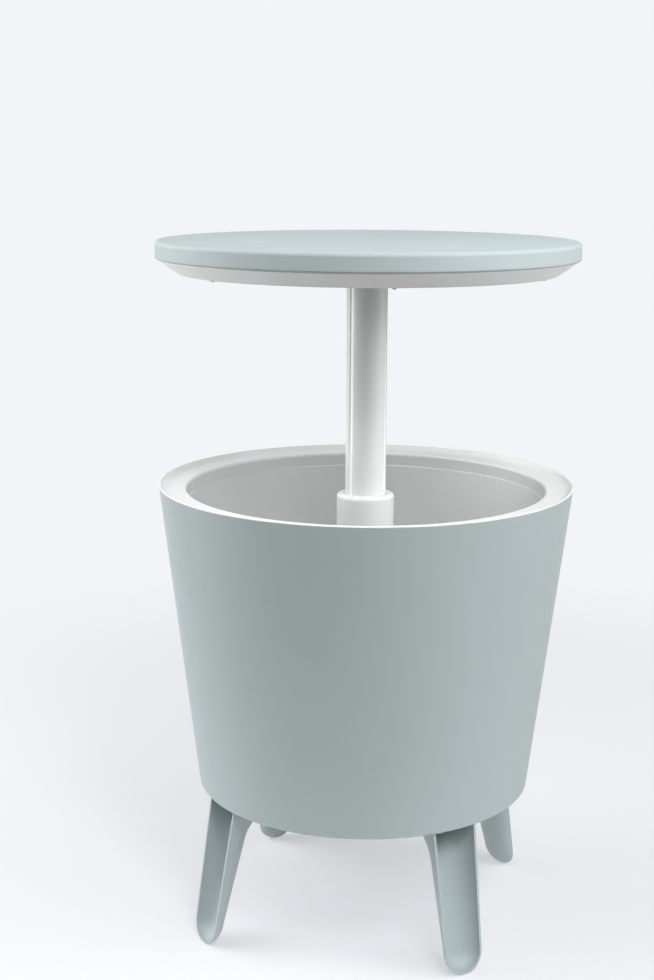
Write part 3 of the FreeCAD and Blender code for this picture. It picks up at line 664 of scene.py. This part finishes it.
class TubLiner(bpy.types.Operator):
    """Models the liner: rolled edge, flange, small step, tapering wall and floor"""

    bl_idname = "ice_table.tub_liner"
    bl_label = "Tub liner"

    def execute(self, context):
        sizes = settings("tub")
        flange = sizes.rim_radius - sizes.lip - LINER_PLAY
        roll_low = sizes.rim_height - sizes.roll_height
        seat = sizes.flange_height - sizes.wall
        skirt = sizes.ledge_radius - LINER_PLAY
        skirt_inside = skirt - 0.0024
        bead = skirt + 0.00145
        bead_top = seat - 0.0042
        bead_low = bead_top - 0.0012
        skirt_low = bead_top - 0.003
        mouth_low = sizes.mouth_radius - 0.0004
        wall_top = sizes.mouth_radius - sizes.step_width
        step_low = sizes.step_height - 0.0006
        under_step = sizes.step_height - 0.003
        under_step_low = sizes.step_height - 0.0036
        under_floor = sizes.floor_height - sizes.wall
        under_floor_radius = sizes.floor_radius - 0.0003
        chimney_hole = sizes.chimney_radius + CHIMNEY_PLAY
        outline = rounded([
            (sizes.rim_radius, roll_low, 0.0003),
            (sizes.rim_radius, sizes.rim_height, 0.0006),
            (sizes.rim_radius - sizes.roll_width, sizes.rim_height, 0.0009),
            (sizes.roll_foot, sizes.flange_height, sizes.roll_curve),
            (sizes.mouth_radius, sizes.flange_height, 0.0025),
            (mouth_low, sizes.step_height, 0.0008),
            (wall_top, step_low, 0.0008),
            (sizes.floor_radius, sizes.floor_height, 0.020),
            (chimney_hole, sizes.floor_height, 0),
            (chimney_hole, under_floor, 0),
            (under_floor_radius, under_floor, 0.022),
            (wall_top + sizes.wall, under_step_low, 0.0008),
            (mouth_low + sizes.wall, under_step, 0.0008),
            (sizes.mouth_radius + sizes.wall, seat, 0.0015),
            (skirt_inside, seat, 0),
            (skirt_inside, skirt_low, 0),
            (skirt, skirt_low, 0),
            (bead, bead_low, 0),
            (bead, bead_top, 0),
            (skirt, bead_top, 0),
            (skirt, seat, 0),
            (flange, seat, 0),
            (flange, roll_low, 0),
        ])
        liner = lathed("tub_liner", outline, LATHE_STEPS)
        drain_hole_cut(liner, under_floor, sizes.floor_height)
        # The liner's inside wall gets painted shade below the flange: darker, with a rougher finish
        inside_wall_top = sizes.flange_height - 0.001
        plastic = moulded("liner plastic", settings("finishes").liner, 0.55, painted_shade_below=inside_wall_top)
        fitted(liner, "tub", "liner_plastic", plastic, "inner_liner")
        chimney = self.chimney(sizes, under_floor)
        fitted(chimney, "tub", "liner_plastic", plastic, "liner_chimney")
        return {"FINISHED"}

    def chimney(self, sizes, low):
        """The tube in the middle of the liner, with a flange at its foot."""
        foot_top = sizes.floor_height + sizes.foot_thickness
        outline = rounded([
            (sizes.chimney_bore, low, 0),
            (sizes.chimney_radius, low, 0),
            (sizes.chimney_radius, sizes.floor_height, 0),
            (sizes.chimney_foot, sizes.floor_height, 0),
            (sizes.chimney_foot, foot_top, 0.0018),
            (sizes.chimney_radius, foot_top, 0.005),
            (sizes.chimney_radius, sizes.chimney_height, 0.0006),
            (sizes.chimney_bore, sizes.chimney_height, 0.0006),
        ])
        return lathed("chimney", outline, TUBE_STEPS)


class Collar(bpy.types.Operator):
    """Models the cap on the chimney that the column comes out of"""

    bl_idname = "ice_table.collar"
    bl_label = "Collar"

    def execute(self, context):
        sizes = settings("tub")
        bore = settings("top").column_radius + COLLAR_PLAY
        inside = sizes.chimney_radius + CHIMNEY_PLAY
        foot = COLLAR_LOW.z
        room_for_ring = 0.0041
        plate = sizes.chimney_height + room_for_ring
        outline = rounded([
            (sizes.collar_radius, foot, 0.0005),
            (sizes.collar_radius, sizes.collar_height, sizes.collar_round),
            (bore, sizes.collar_height, 0.001),
            (bore, plate, 0.0005),
            (inside, plate, 0),
            (inside, foot, 0),
        ])
        collar = lathed("collar", outline, TUBE_STEPS)
        shoulder = (sizes.collar_radius, sizes.collar_height, WORN_REACH)
        plastic = moulded("collar plastic", settings("finishes").liner, 0.5, shoulder)
        fitted(collar, "tub", "pale_plastic", plastic, "collar_cap")
        return {"FINISHED"}


# Pieces of the top

def groove_corners(radius, width, depth, middle, round_off):
    """The four corners of one groove across a tube's outline."""
    half = width / 2 / radius
    low = radius - depth
    corners = []
    for reach, turn, bend in ((radius, -half, round_off), (low, -half, round_off / 2),
                              (low, half, round_off / 2), (radius, half, round_off)):
        corners.append((*on_circle(reach, middle + turn), bend))
    return corners


class ColumnTube(bpy.types.Operator):
    """Models the column, with its lengthwise grooves"""

    bl_idname = "ice_table.column_tube"
    bl_label = "Column"

    def execute(self, context):
        sizes = settings("top")
        radius = sizes.column_radius
        steps_between = 26
        groove = (sizes.groove_width, sizes.groove_depth)
        groove_round = 0.0005
        half = sizes.groove_width / 2 / radius
        span = math.tau / sizes.grooves - 2 * half
        corners = []
        for i in range(sizes.grooves):
            middle = sizes.groove_angle + math.tau * i / sizes.grooves
            corners += groove_corners(radius, *groove, middle, groove_round)
            for k in range(1, steps_between):
                turn = middle + half + span * k / steps_between
                corners.append((*on_circle(radius, turn), 0))
        points = [Vector((x, y, COLUMN_LOW.z)) for x, y in rounded(corners)]
        tube = drawn_line("column_tube", points + points[:1])
        weld()
        extrude((0, 0, COLUMN_HIGH.z - COLUMN_LOW.z))
        facing_out()
        applied(tube, "SOLIDIFY", thickness=sizes.column_wall - sizes.groove_depth, offset=-1.0,
                use_even_offset=True)
        smooth(tube)
        # The grooves' floors get a painted highlight, paler than the rest of the column
        plastic = moulded("column plastic", settings("finishes").column, 0.36,
                          painted_highlight_inside=radius - sizes.groove_depth / 2)
        fitted(tube, "lift_top", "column_plastic", plastic, "column")
        return {"FINISHED"}


class TablePanel(bpy.types.Operator):
    """Models the table top's panel, with its rounded edge band"""

    bl_idname = "ice_table.table_panel"
    bl_label = "Table panel"

    def execute(self, context):
        sizes = settings("top")
        under = sizes.height - sizes.wall
        edge_low = sizes.height - sizes.edge
        skirt = sizes.radius - sizes.skirt
        outline = rounded([
            (0, sizes.height, 0),
            (sizes.radius, sizes.height, sizes.edge_round),
            (sizes.radius, edge_low, sizes.edge_under),
            (skirt, edge_low, 0.0004),
            (skirt, under, 0.002),
            (0, under, 0),
        ])
        panel = lathed("table_panel", outline, LATHE_STEPS, closed=False)
        upper = (sizes.radius, sizes.height, WORN_REACH)
        plastic = moulded("shell plastic of the top", settings("finishes").shell, 0.6, upper, 0.14)
        fitted(panel, "lift_top", "shell_plastic", plastic, "top_panel")
        return {"FINISHED"}


class TableUnderside(bpy.types.Operator):
    """Models the top's lower shell, with its screw wells"""

    bl_idname = "ice_table.table_underside"
    bl_label = "Table underside"

    def execute(self, context):
        sizes = settings("top")
        low = sizes.dish_height
        floor = low + sizes.dish_wall
        edge_low = sizes.height - sizes.edge
        shoulder = edge_low - sizes.seam_drop
        top = edge_low + sizes.seam_rise
        seam = sizes.radius - sizes.skirt - sizes.seam
        inside = seam - sizes.dish_wall
        inside_shoulder = shoulder + 0.001
        bend = sizes.radius - sizes.dish_inset
        inside_bend = bend - 0.001
        bore = sizes.column_radius + DISH_PLAY
        outline = rounded([
            (bore, low, 0.0005),
            (bend, low, sizes.dish_round),
            (seam, shoulder, 0.0006),
            (seam, top, 0.0005),
            (inside, top, 0.0005),
            (inside, inside_shoulder, 0.001),
            (inside_bend, floor, 0.009),
            (bore, floor, 0.0005),
        ])
        dish = lathed("table_underside", outline, LATHE_STEPS)
        well_radius = 0.0045
        boss_radius = 0.006
        well_top = low + 0.004
        boss_top = well_top + 0.0024
        ring = (sizes.screws, sizes.screw_ring, sizes.screw_angle)
        combined(dish, ring_of_pins(*ring, boss_radius, floor - OVERLAP, boss_top), "UNION")
        combined(dish, ring_of_pins(*ring, well_radius, low - OVERLAP, well_top), "DIFFERENCE")
        plastic = moulded("pale plastic", settings("finishes").pale, 0.42)
        fitted(dish, "lift_top", "pale_plastic", plastic, "top_underside")
        return {"FINISHED"}


class RimPads(bpy.types.Operator):
    """Models one soft pad and copies it round the top's lower shell"""

    bl_idname = "ice_table.rim_pads"
    bl_label = "Rim pads"

    def execute(self, context):
        sizes = settings("top")
        low = PADS_LOW.z
        sunk = 0.0002
        seat = sizes.dish_height + sunk
        outline = rounded([
            (0, low, 0),
            (sizes.pad_radius, low, 0.0007),
            (sizes.pad_radius, seat, 0),
            (0, seat, 0),
        ])
        pad = lathed("rim_pad", outline, SMALL_STEPS, closed=False)
        pad.location.x = sizes.pad_ring
        only(pad)
        bpy.ops.object.transform_apply(location=True, rotation=False, scale=False)
        rubber = soft_rubber("soft rubber of the pads", settings("finishes").rubber)
        for i in range(sizes.pads):
            copy = turned_copy(pad, "rim_pad_" + str(i + 1), sizes.pad_angle + math.tau * i / sizes.pads)
            fitted(copy, "lift_top", "soft_rubber", rubber, "lid_bumpers")
        bpy.data.objects.remove(pad)
        return {"FINISHED"}


# Legs

def leg_face(sizes, height):
    """How far out the leg's open face stands at a height."""
    share = height / SHELL_LOW.z
    return sizes.foot_radius + (sizes.head_radius - sizes.foot_radius) * share


def leg_halves(sizes, height):
    """Half depth and half width of the leg at a height. Both close in at the rounded tip."""
    if height < sizes.tip_height:
        drop = (sizes.tip_height - height) / (sizes.tip_height + sizes.foot_flat)
        close = math.sqrt(1 - drop * drop)
        return sizes.tip_depth * close, sizes.foot_half_width * close
    share = (height - sizes.tip_height) / (SHELL_LOW.z - sizes.tip_height)
    flare = max(0.0, (height - sizes.flare_height) / (SHELL_LOW.z - sizes.flare_height))
    flare_power = 2.6
    depth = sizes.tip_depth + sizes.taper * share + sizes.flare * flare ** flare_power
    return depth, sizes.foot_half_width + (sizes.head_half_width - sizes.foot_half_width) * share


def leg_heights(sizes):
    """Heights of the leg's rings: close together round the tip and where the back sweeps in."""
    tip_steps = 10
    leg_steps = 30
    crowding = 1.5
    tall = sizes.tip_height + sizes.foot_flat
    first = math.acos(sizes.tip_height / tall)
    heights = []
    for i in range(tip_steps):
        turn = first + (math.pi / 2 - first) * i / tip_steps
        heights.append(sizes.tip_height - tall * math.cos(turn))
    for i in range(leg_steps + 1):
        rise = 1 - (1 - i / leg_steps) ** crowding
        heights.append(sizes.tip_height + (SHELL_LOW.z - sizes.tip_height) * rise)
    return heights


class Legs(bpy.types.Operator):
    """Models one scooped leg and copies it to the four places"""

    bl_idname = "ice_table.legs"
    bl_label = "Legs"

    def execute(self, context):
        sizes = settings("legs")
        leg = self.leg_form(sizes)
        self.open_scoop(leg, sizes)
        plastic = moulded("shell plastic of the legs", settings("finishes").shell, 0.5)
        for node, degrees in LEG_ANGLES.items():
            copy = turned_copy(leg, node.replace("leg_", "scooped_leg_"), math.radians(degrees))
            fitted(copy, "tub", "shell_plastic", plastic, node)
        bpy.data.objects.remove(leg)
        return {"FINISHED"}

    def leg_form(self, sizes):
        """The leg's round form on both sides of its open face, ring over ring from the tip."""
        heights = leg_heights(sizes)
        select_nothing()
        bpy.ops.mesh.primitive_circle_add(vertices=LEG_STEPS, radius=1.0, fill_type="NOTHING",
                                          location=(0, 0, 0))
        leg = named(bpy.context.object, "leg")
        in_edit_mode()
        select_mesh()
        depth, width = leg_halves(sizes, heights[0])
        face = leg_face(sizes, heights[0])
        bpy.ops.transform.resize(value=(depth, width, 1), center_override=(0, 0, 0))
        bpy.ops.transform.translate(value=(face, 0, heights[0]))
        for height, last in zip(heights[1:], heights):
            step = (leg_face(sizes, height) - leg_face(sizes, last), 0, height - last)
            old_depth, old_width = leg_halves(sizes, last)
            depth, width = leg_halves(sizes, height)
            extrude(step)
            bpy.ops.transform.resize(value=(depth / old_depth, width / old_width, 1),
                                     center_override=(leg_face(sizes, height), 0, height))
        bpy.ops.mesh.edge_face_add()
        self.close_foot(leg)
        facing_out()
        return leg

    def close_foot(self, leg):
        """Closes the flattened tip with a face between its edges on the floor."""
        select_where(leg, "EDGE", lambda edge: all(abs(vertex.co.z) < WELD for vertex in edge.verts))
        bpy.ops.mesh.edge_face_add()
        bpy.ops.mesh.select_mode(type="VERT")

    def open_scoop(self, leg, sizes):
        """Cuts the form at its open face, gives it a wall, and rounds the rim."""
        rise = SHELL_LOW.z
        lean = sizes.foot_radius - sizes.head_radius
        only(leg)
        in_edit_mode()
        select_mesh()
        bpy.ops.mesh.bisect(plane_co=(sizes.foot_radius, 0, 0), plane_no=(rise, 0, lean), clear_outer=True,
                            threshold=WELD)
        out_of_edit_mode()
        applied(leg, "SOLIDIFY", thickness=sizes.wall, offset=-1.0, use_even_offset=True,
                use_quality_normals=True)
        in_edit_mode()
        inside_roof = rise - sizes.wall
        facing_down = -0.9
        near = 0.0004
        select_where(leg, "FACE", lambda face: face.normal.z < facing_down
                     and abs(face.calc_center_median().z - inside_roof) < near)
        bpy.ops.transform.translate(value=(0, 0, sizes.wall - sizes.roof))
        out_of_edit_mode()
        self.set_roof_back(leg, sizes)
        applied(leg, "BEVEL", width=sizes.rim_round, segments=3, limit_method="ANGLE",
                angle_limit=math.radians(50))
        smooth(leg)

    def set_roof_back(self, leg, sizes):
        """Cuts the roof back a little behind the open face, between the side walls."""
        side_gap = 0.0004
        half_width = sizes.head_half_width - sizes.wall - side_gap
        select_nothing()
        bpy.ops.mesh.primitive_cube_add(size=2, location=(sizes.head_radius, 0, SHELL_LOW.z),
                                        scale=(sizes.notch, half_width, sizes.roof + OVERLAP))
        combined(leg, [bpy.context.object], "DIFFERENCE")


class CarriedParts(bpy.types.Operator):
    """Gives the parts that keep their modelled shape their plastics, rubber and steel"""

    bl_idname = "ice_table.carried_parts"
    bl_label = "Carried parts"

    def execute(self, context):
        tints = settings("finishes")
        inner = moulded("inner plastic", tints.inner, 0.4)
        drain = moulded("drain plastic", tints.drain, 0.44)
        rubber = soft_rubber("soft rubber of the seals", tints.rubber)
        steel = zinc_steel("zinc steel", tints.steel)
        finishes = {
            inner: ("index_ring", "guide_base", "guide_tube", "column_slider", "column_hub"),
            drain: ("drain_spout", "drain_nut", "drain_plug"),
            rubber: ("drain_gasket", "plug_seal"),
            steel: ("base_screws", "slider_screws", "hub_screws", "hub_clamp_screws", "top_screws",
                    "leg_screws"),
        }
        for material, names in finishes.items():
            for name in names:
                for place in NODES[name].material_slots:
                    place.material = material
        return {"FINISHED"}


# Stage

def seen_directly(tree):
    """One for rays from the camera, or mirrored or passed on by gloss or glass."""
    path = add_node(tree, "ShaderNodeLightPath")
    result = path.outputs["Is Camera Ray"]
    for name in ("Is Glossy Ray", "Is Transmission Ray"):
        pair = {0: result, 1: path.outputs[name]}
        result = add_node(tree, "ShaderNodeMath", pair, operation="MAXIMUM").outputs[0]
    return result


def floor_finish(stage):
    """Pale matt floor that keeps soft shadows near the table and is the background's colour further off.
    Only the floor near the table throws light back up, as a small studio floor does."""
    recipe = Recipe("pale floor")
    tree = recipe.tree
    direct = seen_directly(tree)
    radius = recipe.radius()
    full_bounce = stage.bounce_reach * 0.4
    dark = (0.02, 0.02, 0.02, 1)
    shadows_fade_from = 0.45
    shadows_end = 1.8
    cloud = recipe.noise(1.4, 2.0)
    tone = recipe.blend(cloud, shade_of(stage.floor_colour, 0.985), stage.floor_colour)
    near = recipe.ramp(radius, stage.bounce_reach, full_bounce)
    bounce = recipe.blend(near, dark, stage.bounce_colour)
    tone = recipe.blend(direct, bounce, tone)
    recipe.set(Base_Color=tone, Roughness=0.9, Specular_IOR_Level=0.1)
    glow = recipe.add("ShaderNodeEmission", {"Color": stage.air_colour, "Strength": 1.0})
    far = recipe.ramp(radius, shadows_fade_from, shadows_end, stage.shadow_fill, 1.0)
    share = recipe.math("MULTIPLY", far, direct)
    mixed = recipe.add("ShaderNodeMixShader", {0: share, 1: recipe.shader.outputs[0], 2: glow.outputs[0]})
    feed(tree, tree.nodes["Material Output"], {"Surface": mixed.outputs[0]})
    return recipe.material


def pale_air(stage):
    """Soft light from all round, with the pale background for what is seen directly."""
    world = bpy.data.worlds.new("pale air")
    world.use_nodes = True
    tree = world.node_tree
    light = tree.nodes["Background"]
    feed(tree, light, {"Color": (1, 1, 1, 1), "Strength": stage.ambient})
    view = add_node(tree, "ShaderNodeBackground", {"Color": stage.air_colour, "Strength": 1.0})
    shaders = {0: seen_directly(tree), 1: light.outputs[0], 2: view.outputs[0]}
    mixed = add_node(tree, "ShaderNodeMixShader", shaders)
    feed(tree, tree.nodes["World Output"], {"Surface": mixed.outputs[0]})
    bpy.context.scene.world = world


def soft_box(name, heading, rise, distance, size, watts):
    """A square lamp aimed at the table: heading is its angle to the right of the camera's side."""
    stage = settings("stage")
    aim = Vector((0, 0, 0.45))
    side = math.atan2(stage.camera_place[1], stage.camera_place[0]) + math.radians(heading)
    climb = math.radians(rise)
    out = Vector((*on_circle(math.cos(climb), side), math.sin(climb)))
    bpy.ops.object.light_add(type="AREA", location=aim + out * distance)
    lamp = bpy.context.object
    lamp.name = name + "_lamp"
    lamp.data.shape = "SQUARE"
    lamp.data.size = size
    lamp.data.energy = watts
    lamp.rotation_euler = out.to_track_quat("Z", "Y").to_euler()
    lamp.visible_camera = False


class Stage(bpy.types.Operator):
    """Adds the pale floor, the soft studio light and the camera"""

    bl_idname = "ice_table.stage"
    bl_label = "Stage"

    def execute(self, context):
        stage = settings("stage")
        select_nothing()
        bpy.ops.mesh.primitive_plane_add(size=2 * stage.floor_size, location=(0, 0, 0))
        floor = named(context.object, "floor")
        floor.data.materials.append(floor_finish(stage))
        pale_air(stage)
        for name, place in LAMPS.items():
            soft_box(name, *place, getattr(stage, name))
        self.add_camera(stage)
        return {"FINISHED"}

    def add_camera(self, stage):
        heading = Matrix.Rotation(stage.camera_heading, 4, "Z")
        tilt = Matrix.Rotation(stage.camera_tilt, 4, "X")
        roll = Matrix.Rotation(stage.camera_roll, 4, "Z")
        bpy.ops.object.camera_add()
        camera = bpy.context.object
        camera.name = "camera"
        camera.matrix_world = Matrix.Translation(stage.camera_place) @ heading @ tilt @ roll
        camera.data.sensor_fit = "VERTICAL"
        camera.data.sensor_height = 36.0
        camera.data.lens = stage.camera_lens
        camera.data.dof.use_dof = False
        bpy.context.scene.camera = camera


class TablePanelUI(bpy.types.Panel):
    """Lists the table's pieces, sizes and colours"""

    bl_idname = "VIEW3D_PT_ice_table"
    bl_label = "Ice Bucket Coffee Table"
    bl_space_type = "VIEW_3D"
    bl_region_type = "UI"
    bl_category = "Ice Table"

    def draw(self, context):
        for operator in OPERATORS:
            self.layout.operator(operator.bl_idname)
        for name, group in GROUPS.items():
            box = self.layout.box()
            box.label(text=name.capitalize())
            for field in group.__annotations__:
                box.prop(settings(name), field)


GROUPS = {"tub": TubSizes, "top": TopSizes, "legs": LegSizes, "finishes": Finishes, "stage": StageSettings}
OPERATORS = [Stage, TubShell, TubLiner, Collar, ColumnTube, TablePanel, TableUnderside, RimPads, Legs,
             CarriedParts]


def register():
    for name, group in GROUPS.items():
        bpy.utils.register_class(group)
        setattr(bpy.types.Scene, "ice_table_" + name, bpy.props.PointerProperty(type=group))
    for operator in OPERATORS:
        bpy.utils.register_class(operator)
    bpy.utils.register_class(TablePanelUI)


def unregister():
    bpy.utils.unregister_class(TablePanelUI)
    for operator in reversed(OPERATORS):
        bpy.utils.unregister_class(operator)
    for name, group in reversed(GROUPS.items()):
        delattr(bpy.types.Scene, "ice_table_" + name)
        bpy.utils.unregister_class(group)


def main():
    """Makes the table piece by piece."""
    register()
    bpy.context.scene.view_settings.view_transform = "Standard"
    for operator in OPERATORS:
        area, name = operator.bl_idname.split(".")
        getattr(getattr(bpy.ops, area), name)()


if __name__ == "__main__":
    main()
